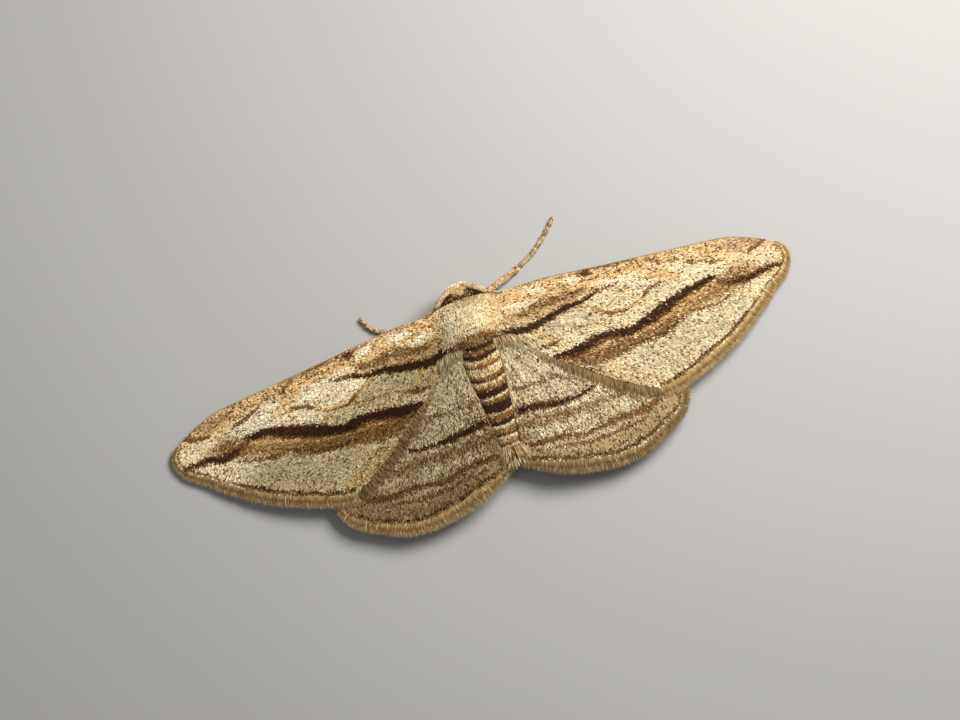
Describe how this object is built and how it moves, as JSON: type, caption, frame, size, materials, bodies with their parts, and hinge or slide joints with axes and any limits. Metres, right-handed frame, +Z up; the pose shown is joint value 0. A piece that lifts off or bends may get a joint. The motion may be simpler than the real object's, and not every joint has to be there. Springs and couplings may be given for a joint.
{
  "type": "moth",
  "caption": "Still, life-size geometer moth at rest with narrow streaked wings spread flat, feelers folded back and feet on the floor.",
  "frame": {"origin": "on the floor below the middle of the moth's box, 2.7 mm behind the middle of the chest", "axes": "+Y forward along the body, +X to the moth's right, +Z up"},
  "size_m": [0.0302, 0.0124, 0.0033],
  "materials": {
    "body_coat": "cream and brown hair-like scales, soft and matte",
    "wing_scales": "flat overlapping scales in cream, tan and dark brown, matte with a faint silky sheen",
    "limb_scales": "small brown scales with pale rings at the joints",
    "eye_facets": "dark brown faceted eye, glossy"
  },
  "bodies": {
    "root": {"head": "body_coat", "thorax": "body_coat", "abdomen": "body_coat", "tail_tuft": "body_coat", "eye_left": "eye_facets", "eye_right": "eye_facets", "palp_left": "limb_scales", "palp_right": "limb_scales", "feeler_left": "limb_scales", "feeler_right": "limb_scales", "forewing_left": "wing_scales", "forewing_right": "wing_scales", "hindwing_left": "wing_scales", "hindwing_right": "wing_scales", "leg_front_left": "limb_scales", "leg_front_right": "limb_scales", "leg_middle_left": "limb_scales", "leg_middle_right": "limb_scales", "leg_hind_left": "limb_scales", "leg_hind_right": "limb_scales"}
  },
  "joints": []
}
